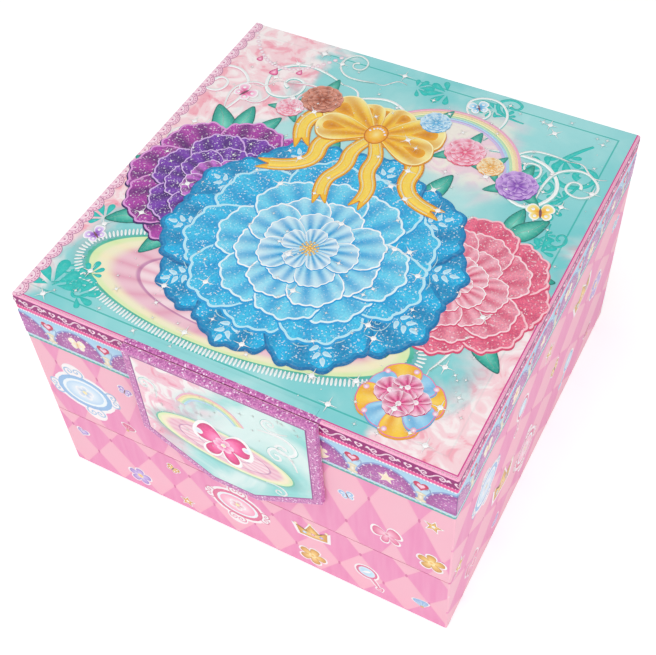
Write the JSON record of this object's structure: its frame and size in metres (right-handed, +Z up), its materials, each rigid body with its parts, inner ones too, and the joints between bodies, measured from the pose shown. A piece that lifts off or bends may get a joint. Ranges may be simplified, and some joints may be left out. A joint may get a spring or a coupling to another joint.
{
  "type": "musical jewellery box",
  "caption": "Square covered-board musical jewellery box with a hinged lid, magnetic closing flap, full-width drawer and a folding dancer that turns inside.",
  "frame": {"origin": "centre of the base's underside, where the box rests", "axes": "+Z up, -Y towards the front with the flap and the drawer, +X to the right as the front is seen"},
  "size_m": [0.16, 0.1823, 0.1003],
  "materials": {
    "side_print": "printed harlequin paper over grey board, satin varnish",
    "front_print": "printed harlequin paper over grey board, satin varnish",
    "drawer_print": "printed harlequin paper over grey board, satin varnish",
    "band_print": "printed border paper with a glossy varnish",
    "lid_print": "glossy printed paper with glitter over grey board",
    "glitter_paper": "glitter paper over board",
    "base_paper": "plain paper over grey board",
    "lining_paper": "pink lining paper over board",
    "velvet": "pink flocked velvet",
    "brass": "pressed and turned brass",
    "steel": "bright steel",
    "comb_steel": "hardened spring steel",
    "zinc": "die-cast zinc",
    "governor_plastic": "moulded nylon",
    "wood": "sawn pine",
    "mirror": "silvered glass",
    "magnet": "nickel-plated magnet",
    "white_plastic": "moulded styrene",
    "doll_plastic": "painted moulded styrene",
    "tulle": "pleated nylon net",
    "key_plating": "brass-plated zinc"
  },
  "bodies": {
    "case": {"base_board": "base_paper", "left_wall": "side_print", "right_wall": "side_print", "back_wall": "side_print", "front_wall": "front_print", "catch_plate": "steel", "deck_board": "lining_paper", "partition_board": "lining_paper", "stage_board": "lining_paper", "tray_dividers": "lining_paper", "tray_linings": "velvet", "stage_lining": "velvet", "ring_rolls": "velvet", "spindle_bush": "brass", "wire_bush": "brass", "key_eyelet": "brass", "case_hinge_leaves": "brass", "case_hinge_screws": "brass", "barrel_bridge": "zinc", "bridge_screws": "steel", "comb": "comb_steel", "comb_screws": "steel", "movement_plate": "zinc", "mounting_blocks": "wood", "movement_screws": "steel", "governor_housing": "governor_plastic", "governor_screw": "steel"},
    "lid": {"lid_top_board": "lid_print", "lid_front_rim": "band_print", "lid_back_rim": "band_print", "lid_left_rim": "band_print", "lid_right_rim": "band_print", "lid_card_lining": "lining_paper", "mirror": "mirror", "lid_hinge_leaves": "brass", "lid_hinge_screws": "brass", "hinge_pins": "brass", "flap_hinge_strip": "glitter_paper"},
    "flap": {"closure_flap": "glitter_paper", "flap_magnet": "magnet"},
    "drawer": {"drawer_front": "drawer_print", "drawer_left_side": "lining_paper", "drawer_right_side": "lining_paper", "drawer_back": "lining_paper", "drawer_bottom": "lining_paper", "drawer_lining": "velvet"},
    "spindle": {"cylinder_arbor": "steel", "cylinder_wheel": "brass", "music_cylinder": "brass", "turntable": "white_plastic", "fold_pin": "steel", "fold_spring": "comb_steel"},
    "figure": {"ballerina_doll": "doll_plastic", "tutu": "tulle"},
    "stop": {"stop_wire": "steel"},
    "barrel": {"spring_barrel": "brass"},
    "key": {"winding_arbor": "steel", "winding_key": "key_plating"},
    "governor": {"governor_pinion": "governor_plastic"}
  },
  "joints": [
    {"name": "lid_hinge", "type": "hinge", "parent": "case", "child": "lid", "pos_m": [0, 0.0815, 0.078], "axis": [-1, 0, 0], "range_deg": [0, 100]},
    {"name": "flap_hinge", "type": "hinge", "parent": "lid", "child": "flap", "pos_m": [0, -0.08, 0.1], "axis": [-1, 0, 0], "range_deg": [0, 175]},
    {"name": "drawer_slide", "type": "slide", "parent": "case", "child": "drawer", "axis": [0, -1, 0], "range_m": [0, 0.07]},
    {"name": "spindle_spin", "type": "hinge", "parent": "case", "child": "spindle", "pos_m": [0, 0.022, 0.05], "axis": [0, 0, 1], "continuous": true},
    {"name": "figure_fold", "type": "hinge", "parent": "spindle", "child": "figure", "pos_m": [0, 0.022, 0.0822], "axis": [-1, 0, 0], "range_deg": [0, 90], "deforming": ["fold_spring"]},
    {"name": "stop_slide", "type": "slide", "parent": "case", "child": "stop", "axis": [0, 0, 1], "range_m": [0, 0.0026]},
    {"name": "barrel_spin", "type": "hinge", "parent": "case", "child": "barrel", "pos_m": [0, 0.031, 0.022], "axis": [0, -1, 0], "continuous": true},
    {"name": "governor_spin", "type": "hinge", "parent": "case", "child": "governor", "pos_m": [-0.0126, 0.022, 0.038], "axis": [0, 0, 1], "continuous": true},
    {"name": "key_turn", "type": "hinge", "parent": "case", "child": "key", "pos_m": [0, 0.09, 0.022], "axis": [0, -1, 0], "continuous": true}
  ],
  "couplings": [
    {"joint": "figure_fold", "follows": "lid_hinge", "ratio": 0.9},
    {"joint": "stop_slide", "follows": "lid_hinge", "m_per_rad": 0.001489},
    {"joint": "barrel_spin", "follows": "spindle_spin", "ratio": 0.33333},
    {"joint": "governor_spin", "follows": "spindle_spin", "ratio": -4}
  ]
}
